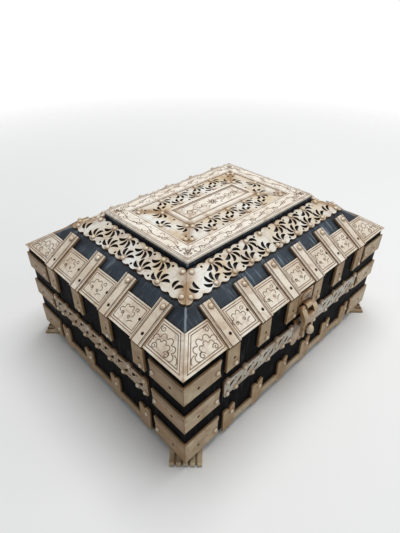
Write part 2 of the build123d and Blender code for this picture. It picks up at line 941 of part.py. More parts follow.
def make_hasp():
    tip = knob_level - fork_below_knob
    back = plate + hasp_back_gap
    slot = knob_head_width + 2 * fork_side_gap
    slot_top = knob_level + knob_head_height / 2 + fork_top_gap
    neck = slot_top + 1
    belly = (staple_level + neck) / 2
    window = staple_width / 2 + hasp_window_side
    half_top = clasp_width / 2 - hasp_shoulder_in
    half_wide = clasp_width / 2
    half_fork = slot / 2 + fork_arm
    reach = fork_front + hasp_swell
    crown = staple_level + hasp_shoulder
    brow = crown - hasp_brow_below
    with BuildPart() as hasp:
        with BuildSketch(wall_plane("front")):
            with BuildLine():
                Line((0, crown), (half_top, crown))
                TangentArc((half_top, crown), (half_wide, brow), tangent=(1, 0))
                Line((half_wide, brow), (half_wide, belly))
                Line((half_wide, belly), (half_fork, neck - 4))
                Line((half_fork, neck - 4), (half_fork, tip + 3))
                ThreePointArc((half_fork, tip + 3), (half_fork - 0.7, tip + 0.7), (half_fork - 3, tip))
                Line((half_fork - 3, tip), (0, tip))
                Line((0, tip), (0, crown))
            make_face()
            mirror(about=Plane.YZ)
        extrude(amount=reach + 1)
        with BuildSketch(section_plane("front")):
            with BuildLine():
                Line((fork_front - hasp_thickness, tip), (fork_front, tip))
                Line((fork_front, tip), (fork_front, neck))
                ThreePointArc(
                    (fork_front, neck),
                    (reach, belly),
                    (pivot_out + hasp_shoulder, staple_level),
                )
                ThreePointArc(
                    (pivot_out + hasp_shoulder, staple_level),
                    (pivot_out, crown),
                    (back, staple_level),
                )
                ThreePointArc(
                    (back, staple_level),
                    (reach - hasp_thickness - 1, belly),
                    (fork_front - hasp_thickness, neck),
                )
                Line((fork_front - hasp_thickness, neck), (fork_front - hasp_thickness, tip))
            make_face()
        extrude(amount=clasp_width, both=True, mode=Mode.INTERSECT)
        with BuildSketch(wall_plane("front")):
            with Locations((0, crown + 1)):
                Rectangle(
                    2 * window,
                    hasp_window_drop + hasp_shoulder + 1,
                    align=(Align.CENTER, Align.MAX),
                )
            with Locations((0, tip - 1)):
                Rectangle(slot, slot_top - tip + 1 - slot / 2, align=(Align.CENTER, Align.MIN))
            with Locations((0, slot_top - slot / 2)):
                Circle(slot / 2)
        extrude(amount=reach + 1, mode=Mode.SUBTRACT)
        with BuildSketch(section_plane("front")):
            with Locations((pivot_out, staple_level)):
                Circle(hasp_bar)
        extrude(amount=window + 0.5, both=True)
    hasp.part.label = "hasp"
    export_step(hasp.part, "parts/hasp.step")


def make_case_clasp_plate():
    half = clasp_width / 2
    high = case_top - drop_clear_of_seam
    low = knob_level - clasp_plate_foot
    lobe = clasp_width / 4
    with BuildPart() as case_plate:
        with BuildSketch(wall_plane("front")):
            with Locations((0, low + lobe)):
                Rectangle(clasp_width, high - low - lobe, align=(Align.CENTER, Align.MIN))
                with GridLocations(half, 1, 2, 1):
                    Circle(lobe)
            with Locations((0, knob_level)):
                Circle(knob_shank + knob_running, mode=Mode.SUBTRACT)
        extrude(amount=plate)
    case_plate.part.label = "case_clasp_plate"
    export_step(case_plate.part, "parts/case_clasp_plate.step")


def make_knob():
    head_out = fork_front + knob_head_gap
    dome_out = head_out + knob_head_depth - knob_head_width / 2
    with BuildPart() as knob:
        with BuildSketch(section_plane("front")):
            with Locations((dome_out, knob_level)):
                Ellipse(knob_head_width / 2, knob_head_height / 2)
                Rectangle(
                    knob_head_width,
                    knob_head_height * 2,
                    align=(Align.MAX, Align.CENTER),
                    mode=Mode.SUBTRACT,
                )
        revolve(axis=Axis(wall_plane("front", 0, dome_out).origin, (0, 0, 1)))
        split(bisect_by=wall_plane("front", 0, dome_out), keep=Keep.TOP)
        with BuildSketch(wall_plane("front", knob_level, head_out)):
            Ellipse(knob_head_width / 2, knob_head_height / 2)
        extrude(amount=dome_out - head_out)
        with BuildSketch(wall_plane("front", knob_level, head_out)):
            Circle(knob_neck)
        extrude(amount=plate + joint_gap * 2 - head_out)
        with BuildSketch(wall_plane("front", knob_level, plate + joint_gap * 2)):
            Circle(knob_shank)
        extrude(amount=-(plate + joint_gap * 2 + board - knob_short))
    knob.part.label = "turn_knob"
    export_step(knob.part, "parts/turn_knob.step")


make_base()
make_top_board()
for side in side_angles:
    make_case_board(side)
    make_foot(side)
    make_lid_wall(side)
    make_slope_board(side)
    make_plaques(side)
    make_straps(side)
    make_fretwork(side)
    make_case_corner(side)
    make_band(side)
    make_tabs(side)
make_drops()
make_top_border()
make_top_ring()
make_panel()
make_lid_corners()
make_border_strips()

bone_pin = headed_pin(pin_head, pin_dome, pin_shank, pin_length)
nail = headed_pin(nail_head, nail_dome, nail_shank, nail_length)
make_pins("case_pins", bone_pin, case_pin_places())
make_pins("lid_pins", bone_pin, lid_pin_places())
make_pins("fretwork_pins", bone_pin, fret_pin_places() + top_pin_places())
make_pins("case_hinge_nails", nail, nail_places(-1))
make_pins("lid_hinge_nails", nail, nail_places(1))
make_hinges()
make_lid_clasp_plate()
make_hasp()
make_case_clasp_plate()
make_knob()
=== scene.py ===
from math import atan2, cos, pi, sin, sqrt, tau
import bpy
from mathutils import Matrix, Vector


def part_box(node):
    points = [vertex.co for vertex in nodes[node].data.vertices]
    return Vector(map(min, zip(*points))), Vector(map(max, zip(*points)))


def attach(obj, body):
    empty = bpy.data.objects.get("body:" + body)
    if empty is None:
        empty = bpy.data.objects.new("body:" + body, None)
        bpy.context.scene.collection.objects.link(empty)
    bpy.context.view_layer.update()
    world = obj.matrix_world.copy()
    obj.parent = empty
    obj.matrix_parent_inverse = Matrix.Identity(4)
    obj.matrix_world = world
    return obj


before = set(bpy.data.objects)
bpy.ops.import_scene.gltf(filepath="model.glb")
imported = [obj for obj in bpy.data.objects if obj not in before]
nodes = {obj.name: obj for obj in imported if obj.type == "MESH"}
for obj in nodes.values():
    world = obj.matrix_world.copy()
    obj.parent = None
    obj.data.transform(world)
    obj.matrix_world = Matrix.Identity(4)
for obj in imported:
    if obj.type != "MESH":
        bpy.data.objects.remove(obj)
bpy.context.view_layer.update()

mm = 0.001

# Camera: it stands before the left front corner, higher than the lid, where the photograph
# was taken from, and looks down on the box in an upright frame of 400 by 533.
frame_pixels, focal_pixels = 533, 404.5
camera_data = bpy.data.cameras.new("camera")
camera_data.sensor_fit = "VERTICAL"
camera_data.sensor_height = 36.0
camera_data.lens = focal_pixels * camera_data.sensor_height / frame_pixels
camera = bpy.data.objects.new("camera", camera_data)
bpy.context.scene.collection.objects.link(camera)
case_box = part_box("base_board")
middle = (Vector(case_box[0]) + Vector(case_box[1])) / 2
sight = Vector((0.5679, 0.5780, -0.5860)).normalized()
level = Vector((0.7163, -0.6978, 0.0059))
level = (level - sight * level.dot(sight)).normalized()
turn = Matrix((level, level.cross(sight), -sight)).transposed().to_4x4()
camera_place = Vector((-265.7 * mm, middle.y - 253.4 * mm, 338.2 * mm))
camera.matrix_world = Matrix.Translation(camera_place) @ turn
bpy.context.scene.camera = camera
bpy.context.scene.view_settings.view_transform = "Standard"


# Table and light: the box stands on a plain pale floor that fades into a white world. One
# soft lamp hangs above it, and a weaker one stands before it on the right.
def add_node(tree, kind, inputs=(), **settings):
    """A node with its settings and its unlinked or linked inputs, given by socket name or number."""
    made = tree.nodes.new(kind)
    for name, value in settings.items():
        setattr(made, name, value)
    for socket, value in dict(inputs).items():
        if isinstance(value, bpy.types.NodeSocket):
            tree.links.new(value, made.inputs[socket])
        else:
            made.inputs[socket].default_value = value
    return made


def maths(tree, operation, *values):
    """What a Math node makes of sockets and numbers."""
    return add_node(tree, "ShaderNodeMath", enumerate(values), operation=operation).outputs[0]


def ramp_between(tree, value, low, high, to_low=0.0, to_high=1.0):
    """The value, taken from low..high to to_low..to_high and held there."""
    made = add_node(tree, "ShaderNodeMapRange", {0: value, 1: low, 2: high, 3: to_low, 4: to_high})
    return made.outputs[0]


def new_material(name):
    material = bpy.data.materials.new(name)
    material.use_nodes = True
    material.node_tree.nodes.clear()
    return material, material.node_tree


floor_mesh = bpy.data.meshes.new("floor")
floor_half, fade_from, fade_to = 4.0, 0.35, 1.1
floor_corners = [(-floor_half, -floor_half, 0), (floor_half, -floor_half, 0)]
floor_corners += [(floor_half, floor_half, 0), (-floor_half, floor_half, 0)]
floor_mesh.from_pydata(floor_corners, [], [(0, 1, 2, 3)])
floor = bpy.data.objects.new("floor", floor_mesh)
bpy.context.scene.collection.objects.link(floor)
floor_paint, tree = new_material("floor_paint")
place = add_node(tree, "ShaderNodeTexCoord").outputs["Object"]
far = add_node(tree, "ShaderNodeVectorMath", {0: place}, operation="LENGTH")
fade = ramp_between(tree, far.outputs["Value"], fade_from, fade_to)
shade = add_node(tree, "ShaderNodeBsdfDiffuse", {"Color": (0.88, 0.88, 0.87, 1)})
clear = add_node(tree, "ShaderNodeBsdfTransparent")
both = add_node(tree, "ShaderNodeMixShader", {0: fade, 1: shade.outputs[0], 2: clear.outputs[0]})
add_node(tree, "ShaderNodeOutputMaterial", {"Surface": both.outputs[0]})
floor_mesh.materials.append(floor_paint)

world = bpy.data.worlds.new("studio")
bpy.context.scene.world = world
world.use_nodes = True
tree = world.node_tree
tree.nodes.clear()
rays = add_node(tree, "ShaderNodeLightPath").outputs
seen = maths(tree, "MAXIMUM", rays["Is Camera Ray"], rays["Is Glossy Ray"])
seen = maths(tree, "MAXIMUM", seen, rays["Is Transmission Ray"])
soft = add_node(tree, "ShaderNodeBackground", {"Color": (0.93, 0.97, 1.0, 1), "Strength": 0.33})
plain = add_node(tree, "ShaderNodeBackground", {"Color": (1, 1, 1, 1), "Strength": 1.0})
both = add_node(tree, "ShaderNodeMixShader", {0: seen, 1: soft.outputs[0], 2: plain.outputs[0]})
add_node(tree, "ShaderNodeOutputWorld", {"Surface": both.outputs[0]})

lamp_width, lit_place = 0.8, Vector((0, 0, 0.08))
lamp_rows = (("ceiling_lamp", (0.20, 0.05, 1.30), 12), ("window_lamp", (0.75, -1.0, 0.85), 3))
for name, lamp_place, watts in lamp_rows:
    lamp_data = bpy.data.lights.new(name, "AREA")
    lamp_data.size = lamp_width
    lamp_data.energy = watts
    lamp = bpy.data.objects.new(name, lamp_data)
    bpy.context.scene.collection.objects.link(lamp)
    lamp.location = lamp_place
    lamp.rotation_euler = (lit_place - Vector(lamp_place)).to_track_quat("-Z", "Y").to_euler()


# Boards of the case and the lid: close-grained wood, stained black and glued at its mitres.
# The slopes are rubbed, with fine pale scratches, and their lighter slate-blue tone is partly
# wear and partly a painted reflection. Painted shade blackens them under the fretwork and
# beside what stands on them, and the faces inside are left bare.
def new_group(name, takes, gives):
    """A shader node group: takes are (name, socket type, default) rows and gives are names."""
    group = bpy.data.node_groups.new(name, "ShaderNodeTree")
    for label, kind, value in takes:
        socket = group.interface.new_socket(label, in_out="INPUT", socket_type=kind)
        socket.default_value = value
    for label in gives:
        group.interface.new_socket(label, in_out="OUTPUT", socket_type="NodeSocketFloat")
    return group, group.nodes.new("NodeGroupInput").outputs, group.nodes.new("NodeGroupOutput").inputs


def stretched_noise(tree, place, stretch, scale, detail=3.0, distortion=0.0):
    """Noise over a place that is first stretched along its axes."""
    moved = add_node(tree, "ShaderNodeVectorMath", {0: place, 1: stretch}, operation="MULTIPLY")
    inputs = {"Vector": moved.outputs[0], "Scale": scale, "Detail": detail, "Distortion": distortion}
    return add_node(tree, "ShaderNodeTexNoise", inputs).outputs["Fac"]


def mix_colour(tree, amount, first, second):
    made = add_node(tree, "ShaderNodeMix", {0: amount, 6: first, 7: second}, data_type="RGBA")
    return made.outputs[2]


def from_middle(tree, place):
    """How far a place is from the box's middle in length and in depth, and how high it is."""
    parts = add_node(tree, "ShaderNodeSeparateXYZ", {0: place}).outputs
    across = maths(tree, "SUBTRACT", parts[1], middle.y)
    return maths(tree, "ABSOLUTE", parts[0]), maths(tree, "ABSOLUTE", across), parts[2]


even = (1, 1, 1)
wood_marks, takes, gives = new_group(
    "wood_marks",
    [
        ("Place", "NodeSocketVector", (0, 0, 0)),
        ("Stretch", "NodeSocketVector", even),
        ("Rub", "NodeSocketVector", even),
    ],
    ("Grain", "Scratch", "Patch"),
)
place = takes["Place"]
grain = stretched_noise(wood_marks, place, takes["Stretch"], scale=260.0, detail=5.0, distortion=0.4)
hair = stretched_noise(wood_marks, place, takes["Rub"], scale=420.0, detail=2.0)
patch = stretched_noise(wood_marks, place, even, scale=28.0, detail=4.0)
hair = ramp_between(wood_marks, hair, 0.54, 0.70)
worn = ramp_between(wood_marks, patch, 0.38, 0.66)
wood_marks.links.new(grain, gives["Grain"])
wood_marks.links.new(maths(wood_marks, "MULTIPLY", hair, worn), gives["Scratch"])
wood_marks.links.new(patch, gives["Patch"])

inner_side, takes, gives = new_group(
    "inner_side",
    [
        ("Place", "NodeSocketVector", (0, 0, 0)),
        ("Facing", "NodeSocketVector", (0, 0, 1)),
        ("Downward", "NodeSocketFloat", 0.0),
    ],
    ("Mask",),
)
rim_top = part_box("lid_front_board")[1][2]
margin, looks_down = 0.2 * mm, -0.3
wide, deep, high = from_middle(inner_side, takes["Place"])
inside = maths(inner_side, "GREATER_THAN", high, case_box[0][2] + margin)
for value, limit in (
    (wide, case_box[1][0] + margin),
    (deep, case_box[1][1] - middle.y + margin),
    (high, rim_top + margin),
):
    inside = maths(inner_side, "MULTIPLY", inside, maths(inner_side, "LESS_THAN", value, limit))
facing = add_node(inner_side, "ShaderNodeSeparateXYZ", {0: takes["Facing"]})
down = maths(inner_side, "LESS_THAN", facing.outputs[2], looks_down)
down = maths(inner_side, "MULTIPLY", down, takes["Downward"])
inner_side.links.new(maths(inner_side, "MAXIMUM", inside, down), gives["Mask"])

hip_reach, takes, gives = new_group(
    "hip_reach",
    [
        ("Place", "NodeSocketVector", (0, 0, 0)),
        ("Reach", "NodeSocketFloat", 10 * mm),
        ("Uneven", "NodeSocketFloat", 5 * mm),
    ],
    ("Mask",),
)
half_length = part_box("front_board")[1][0]
half_depth = middle.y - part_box("front_board")[0][1]
wide, deep = from_middle(hip_reach, takes["Place"])[:2]
apart = maths(hip_reach, "SUBTRACT", wide, deep)
apart = maths(hip_reach, "SUBTRACT", apart, half_length - half_depth)
apart = maths(hip_reach, "ABSOLUTE", apart)
uneven = stretched_noise(hip_reach, takes["Place"], even, scale=180.0, detail=4.0)
uneven = ramp_between(hip_reach, uneven, 0.25, 0.75, -1.0, 1.0)
apart = maths(hip_reach, "ADD", apart, maths(hip_reach, "MULTIPLY", uneven, takes["Uneven"]))
hip_reach.links.new(ramp_between(hip_reach, apart, 0.0, takes["Reach"], 1.0, 0.0), gives["Mask"])

pitch_black = (0.002, 0.002, 0.0025, 1)
wall_tones = (pitch_black, (0.005, 0.005, 0.006, 1), (0.035, 0.035, 0.040, 1))
# The slopes' lighter, bluer tones are partly rubbed wear and partly a painted reflection.
slope_wear_and_reflection_tones = ((0.009, 0.014, 0.021, 1), (0.046, 0.063, 0.084, 1), (0.24, 0.28, 0.32, 1))
bare_tones = ((0.13, 0.06, 0.025, 1), (0.26, 0.13, 0.06, 1))
grain_ways = {"x": (0.12, 1.0, 1.0), "y": (1.0, 0.12, 1.0)}
rub_ways = {"x": (1.0, 0.10, 0.10), "y": (0.10, 1.0, 0.10)}
shade_reach = 5.0 * mm


def close_material(tree, inputs):
    """End a material in its one shader."""
    shade = add_node(tree, "ShaderNodeBsdfPrincipled", inputs)
    add_node(tree, "ShaderNodeOutputMaterial", {"Surface": shade.outputs[0]})


def ebonised_wood(name, letter, downward, tones, gloss, shine, ridge=0.0):
    """Black wood with a dark, a rubbed and a scratched tone, its grain along the axis of the letter.
    Faces that look down are bare where downward is 1, and ridge is how far hips are worn.
    With a ridge, painted shade also blackens the nooks."""
    dark, rubbed, scratched = tones
    material, tree = new_material(f"{name}_{letter}")
    place = add_node(tree, "ShaderNodeTexCoord").outputs
    marks = {"Place": place["Object"], "Stretch": grain_ways[letter], "Rub": rub_ways[letter]}
    marks = add_node(tree, "ShaderNodeGroup", node_tree=wood_marks, inputs=marks).outputs
    bare = {"Place": place["Object"], "Facing": place["Normal"], "Downward": downward}
    bare = add_node(tree, "ShaderNodeGroup", node_tree=inner_side, inputs=bare).outputs["Mask"]
    black = mix_colour(tree, ramp_between(tree, marks["Patch"], 0.36, 0.64), dark, rubbed)
    fibre = ramp_between(tree, marks["Grain"], 0.35, 0.65, 0.0, 0.35)
    black = mix_colour(tree, fibre, black, dark)
    black = mix_colour(tree, marks["Scratch"], black, scratched)
    if ridge:
        edge = {"Place": place["Object"], "Reach": ridge, "Uneven": ridge / 2}
        edge = add_node(tree, "ShaderNodeGroup", node_tree=hip_reach, inputs=edge).outputs["Mask"]
        worn = ramp_between(tree, edge, 0.0, 0.5, 0.0, 0.8)
        black = mix_colour(tree, worn, black, scratched)
        # Painted shade: the slope wood is blackened where plates and fretwork stand over it, most of all
        # in the piercings.
        nook = add_node(tree, "ShaderNodeAmbientOcclusion", {"Distance": shade_reach}, samples=8)
        painted_shade = ramp_between(tree, nook.outputs["AO"], 0.50, 0.92, 0.95, 0.0)
        black = mix_colour(tree, painted_shade, black, pitch_black)
    brown = mix_colour(tree, marks["Grain"], *bare_tones)
    rough = ramp_between(tree, marks["Patch"], 0.3, 0.7, gloss, gloss + 0.16)
    bump = {"Strength": 0.35, "Distance": 0.3 * mm, "Height": marks["Grain"]}
    inputs = {
        "Base Color": mix_colour(tree, bare, black, brown),
        "Roughness": maths(tree, "MULTIPLY_ADD", rough, bare, rough),
        "Specular IOR Level": shine,
        "Normal": add_node(tree, "ShaderNodeBump", bump).outputs[0],
    }
    close_material(tree, inputs)
    return material


def finish_node(name, material):
    """Give a carried-over piece its material."""
    mesh = nodes[name].data
    mesh.materials.clear()
    mesh.materials.append(material)


pairs = {"x": ("front", "back"), "y": ("left", "right")}
for letter, pair in pairs.items():
    case_wood = ebonised_wood("case_wood", letter, 0.0, wall_tones, gloss=0.34, shine=0.01)
    lid_wood = ebonised_wood("lid_wood", letter, 1.0, wall_tones, gloss=0.34, shine=0.01)
    slope_wood = ebonised_wood(
        "slope_wood", letter, 1.0, slope_wear_and_reflection_tones, gloss=0.40, shine=0.20, ridge=1.6 * mm
    )
    for side in pair:
        finish_node(f"{side}_board", case_wood)
        finish_node(f"lid_{side}_board", lid_wood)
        finish_node(f"slope_{side}_board", slope_wood)
    if letter == "x":
        finish_node("base_board", case_wood)
        finish_node("top_board", slope_wood)

# Feet: thick shin bone carved into splayed paws with five toes, glued under the case's corners.
# Like every bone piece they are streaked along their length, stained brown in patches, and
# dark in their nooks, partly with dirt and partly with painted shade.
bone_marks, takes, gives = new_group(
    "bone_marks",
    [("Place", "NodeSocketVector", (0, 0, 0)), ("Stretch", "NodeSocketVector", even)],
    ("Streak", "Patch", "Stain"),
)
place = takes["Place"]
streak = stretched_noise(bone_marks, place, takes["Stretch"], scale=900.0)
stain = stretched_noise(bone_marks, place, even, scale=95.0, detail=6.0, distortion=0.8)
patch = stretched_noise(bone_marks, place, even, scale=42.0, detail=4.0)
bone_marks.links.new(ramp_between(bone_marks, streak, 0.52, 0.72), gives["Streak"])
bone_marks.links.new(ramp_between(bone_marks, stain, 0.52, 0.70), gives["Stain"])
bone_marks.links.new(patch, gives["Patch"])

honey, stain_brown = (0.33, 0.205, 0.105, 1), (0.27, 0.13, 0.055, 1)
streak_brown, hip_brown = (0.46, 0.34, 0.21, 1), (0.28, 0.155, 0.060, 1)
aslant_shade_brown, rust_brown = (0.34, 0.19, 0.08, 1), (0.28, 0.145, 0.055, 1)
dirt_and_shade_brown = (0.075, 0.038, 0.020, 1)


def bone(
    name, way, tones, stained, dirt_and_shade_reach, rusty, gloss, shine=0.35, hips=(), side_shade=0.0, aslant_shade=0.0, fine=1.0
):
    """Bone between two tones, with its streaks along the axis where the way is least. Dirt and painted
    shade darken its nooks out to the nook reach, with a brown stain rim of the strength of rusty.
    Its hips are browned by a reach and a strength; sides and edges are the strength of painted
    shade on the faces to left and right and on rims seen aslant. Its marks lie closer by the factor fine."""
    material, tree = new_material(name)
    place = add_node(tree, "ShaderNodeTexCoord").outputs
    closer = {0: place["Object"], 1: (fine,) * 3}
    closer = add_node(tree, "ShaderNodeVectorMath", closer, operation="MULTIPLY").outputs[0]
    marks = {"Place": closer, "Stretch": way}
    marks = add_node(tree, "ShaderNodeGroup", node_tree=bone_marks, inputs=marks).outputs
    colour = mix_colour(tree, ramp_between(tree, marks["Patch"], 0.34, 0.66), *tones)
    # Painted shade: faces turned to left or right are browned towards honey.
    if side_shade:
        facing = add_node(tree, "ShaderNodeSeparateXYZ", {0: place["Normal"]})
        sideways = maths(tree, "ABSOLUTE", facing.outputs[0])
        colour = mix_colour(tree, ramp_between(tree, sideways, 0.6, 0.8, 0.0, side_shade), colour, honey)
    streaks = ramp_between(tree, marks["Streak"], 0.0, 1.0, 0.0, 0.45)
    colour = mix_colour(tree, streaks, colour, streak_brown)
    stains = ramp_between(tree, marks["Stain"], 0.0, 1.0, 0.0, stained)
    colour = mix_colour(tree, stains, colour, stain_brown)
    if hips:
        edge = {"Place": place["Object"], "Reach": hips[0]}
        edge = add_node(tree, "ShaderNodeGroup", node_tree=hip_reach, inputs=edge).outputs["Mask"]
        browned = ramp_between(tree, edge, 0.0, 0.8, 0.0, hips[1])
        broken = ramp_between(tree, marks["Patch"], 0.34, 0.56, 0.55, 1.0)
        colour = mix_colour(tree, maths(tree, "MULTIPLY", browned, broken), colour, hip_brown)
    # Painted shade: edges seen aslant, such as the rims of the domed pins, are darkened towards brown.
    if aslant_shade:
        aslant = add_node(tree, "ShaderNodeLayerWeight", {"Blend": 0.5}).outputs["Facing"]
        colour = mix_colour(tree, ramp_between(tree, aslant, 0.15, 0.75, 0.0, aslant_shade), colour, aslant_shade_brown)
    # Round what stands over it the bone has a rust-brown stain rim; deeper in the nooks it turns
    # near-black, partly dirt and partly painted shade.
    nook = add_node(tree, "ShaderNodeAmbientOcclusion", {"Distance": dirt_and_shade_reach}, samples=8).outputs["AO"]
    colour = mix_colour(tree, ramp_between(tree, nook, 0.80, 0.985, rusty, 0.0), colour, rust_brown)
    colour = mix_colour(tree, ramp_between(tree, nook, 0.30, 0.78, 0.95, 0.0), colour, dirt_and_shade_brown)
    bump = {"Strength": 0.3, "Distance": 0.2 * mm, "Height": marks["Streak"]}
    inputs = {
        "Base Color": colour,
        "Roughness": ramp_between(tree, marks["Patch"], 0.3, 0.7, gloss, gloss + 0.14),
        "Specular IOR Level": shine,
        "Normal": add_node(tree, "ShaderNodeBump", bump).outputs[0],
    }
    close_material(tree, inputs)
    return material


light_tan, tan = (0.54, 0.435, 0.285, 1), (0.38, 0.265, 0.155, 1)
foot_bone = bone(
    "foot_bone",
    (1, 1, 0.15),
    (light_tan, tan),
    stained=0.55,
    dirt_and_shade_reach=3.0 * mm,
    rusty=0.7,
    gloss=0.40,
    fine=1.7,
)
corners = ("front_left", "front_right", "back_left", "back_right")
for corner in corners:
    finish_node(f"foot_{corner}", foot_bone)

# Band: thin plates of bone, sawn with lobes and pierced, that are pinned round the case. They
# are grey on the front, and the browner, darker tones on the ends are painted shade.
streak_ways = {"x": (0.10, 1.0, 1.0), "y": (1.0, 0.10, 1.0)}
grey_bone, grey_tan = (0.58, 0.56, 0.49, 1), (0.42, 0.37, 0.29, 1)
# The darker tones of the end bands are painted shade.
band_tones = {"x": (grey_bone, grey_tan), "y": (grey_tan, honey)}
for letter, way in streak_ways.items():
    band_bone = bone(
        f"band_bone_{letter}",
        way,
        band_tones[letter],
        stained=0.55,
        dirt_and_shade_reach=5.0 * mm,
        rusty=0.8,
        gloss=0.38,
    )
    for side in pairs[letter]:
        finish_node(f"{side}_band", band_bone)

# Tabs: short upright bone plates, each pinned to the foot of the case below a strap of the
# lid. Their bone is plain and brown, with its streaks upright; the darker tone of the tabs on
# the ends is painted shade.
buff, upright = (0.46, 0.335, 0.185, 1), (1, 1, 0.1)
tab_tones = {"x": (buff, honey), "y": (tan, honey)}
for letter, tones in tab_tones.items():
    tab_bone = bone(
        f"tab_bone_{letter}",
        upright,
        tones,
        stained=0.6,
        dirt_and_shade_reach=2.4 * mm,
        rusty=0.7,
        gloss=0.38,
        fine=1.7,
    )
    for side in pairs[letter]:
        finish_node(f"{side}_tabs", tab_bone)

# Plaques: flat cream bone plates, one in each field between the straps. Their ornament is cut
# with a graver and filled with dark lac: a double border, a scalloped cloud with curls inside
# it, and beside it a nail hole, shown by a near-black dome of painted shade.
ivory, cream = (0.83, 0.76, 0.65, 1), (0.65, 0.54, 0.41, 1)
for letter, way in streak_ways.items():
    plaque_bone = bone(
        f"plaque_bone_{letter}",
        way,
        (ivory, cream),
        stained=0.45,
        dirt_and_shade_reach=4.0 * mm,
        rusty=0.70,
        gloss=0.38,
        hips=(5 * mm, 0.5),
    )
    for side in pairs[letter]:
        finish_node(f"{side}_plaques", plaque_bone)

lac, tree = new_material("lac")
place = add_node(tree, "ShaderNodeTexCoord").outputs["Object"]
flaky = ramp_between(tree, stretched_noise(tree, place, even, scale=150.0), 0.44, 0.68)
colour = mix_colour(tree, flaky, (0.070, 0.038, 0.022, 1), (0.27, 0.17, 0.105, 1))
close_material(tree, {"Base Color": colour, "Roughness": 0.6})

# Painted shade: a near-black dome stands for the dark inside of each open nail hole.
nail_hole_shade, tree = new_material("nail_hole_shade")
place = add_node(tree, "ShaderNodeTexCoord").outputs["Object"]
flaky = stretched_noise(tree, place, even, scale=900.0)
colour = mix_colour(tree, flaky, (0.008, 0.005, 0.004, 1), (0.04, 0.022, 0.014, 1))
close_material(tree, {"Base Color": colour, "Roughness": 0.7, "Specular IOR Level": 0.1})

slope_rise, slope_run = 22.0, 33.0
slope_angle = atan2(slope_rise, slope_run)
centre, up = Vector((0, middle.y, 0)), Vector((0, 0, 1))
along = {
    "front": Vector((1, 0, 0)),
    "right": Vector((0, 1, 0)),
    "back": Vector((-1, 0, 0)),
    "left": Vector((0, -1, 0)),
}
out = {side: way.cross(up) for side, way in along.items()}
half_run = {side: half_length if side in pairs["x"] else half_depth for side in along}
half_span = {side: half_depth if side in pairs["x"] else half_length for side in along}
strap_count = {side: 6 if side in pairs["x"] else 4 for side in along}


def slope_facing(side):
    """The way that a side's lower slope faces."""
    return out[side] * sin(slope_angle) + up * cos(slope_angle)


def slope_map(side, rise):
    """A map from a place on a side's lower slope, x along and s up it in mm, to the object."""
    back = up * sin(slope_angle) - out[side] * cos(slope_angle)
    foot = centre + out[side] * half_span[side] + up * rim_top + slope_facing(side) * rise * mm
    return lambda x, s: foot + (along[side] * x + back * s) * mm


def bent(x, y, radius, start, end, steps=6):
    """Points of an arc, its angles given in turns."""
    angles = [tau * (start + (end - start) * step / steps) for step in range(steps + 1)]
    return [(x + radius * cos(angle), y + radius * sin(angle)) for angle in angles]


def curl(x, y, radius, start, turns):
    """A spiral that tightens towards its middle."""
    steps, tightening = 16, 0.82
    points = []
    for step in range(steps + 1):
        share = step / steps
        angle = tau * (start + turns * share)
        reach = radius * (1 - tightening * share)
        points.append((x + reach * cos(angle), y + reach * sin(angle)))
    return points


def cloud(x, y, width, height, lobes, lean=0.0, rows=2):
    """A cloud: a chain of scallops over an arch, a smaller one inside it, and a curl at each end."""
    scallop_size, scallop_half = 0.98 * 0.62, 0.27
    lines = []
    for share, wanted in ((1.0, lobes), (0.62, lobes - 1))[:rows]:
        chain = []
        for index in range(wanted):
            angle = pi * (1 - (index + 0.5) / wanted) + lean
            heart = (x + share * width / 2 * cos(angle), y + share * height * sin(angle))
            size = share * width * scallop_size / wanted
            aim = angle / tau
            chain += bent(*heart, size, aim + scallop_half, aim - scallop_half, 7)
        lines.append(chain)
    for hand, start in ((-1, 0.0), (1, 0.5)):
        lines.append(curl(x + hand * width * 0.30, y - height * 0.02, width * 0.13, start, -hand * 1.3))
    return lines


def add_piece(name, body, points, faces, material):
    """A thin new mesh that rides on a body and takes its finish from a slot."""
    data = bpy.data.meshes.new(name)
    data.from_pydata(points, [], faces)
    data.materials.append(material)
    piece = bpy.data.objects.new(name, data)
    bpy.context.scene.collection.objects.link(piece)
    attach(piece, body)


def engrave(name, body, lines, width=0.60):
    """Cut lines filled with lac to just above the face: each is its places and the way its plate
    faces, and is closed if its last place is its first."""
    section = ((1.1, -0.05), (1.0, 0.05), (-1.0, 0.05), (-1.1, -0.05))
    points, faces = [], []
    for places, facing in lines:
        closed = (places[0] - places[-1]).length < 0.01 * mm
        knots = places[:-1] if closed else places
        base, count = len(points), len(knots)
        for index, knot in enumerate(knots):
            before = knots[index - 1] if closed or index else knot
            after = knots[(index + 1) % count] if closed or index < count - 1 else knot
            into, onward = (knot - before).normalized(), (after - knot).normalized()
            sideways = (into + onward).cross(facing).normalized()
            steady = onward if onward.length else into
            reach = width / 2 * mm / max(0.5, abs(sideways.dot(steady.cross(facing).normalized())))
            for share, rise in section:
                points.append(knot + sideways * reach * share + facing * rise * mm)
        for index in range(count if closed else count - 1):
            here, there = base + 4 * index, base + 4 * ((index + 1) % count)
            faces += [(here + row, here + row + 1, there + row + 1, there + row) for row in range(3)]
    add_piece(name, body, points, faces, lac)


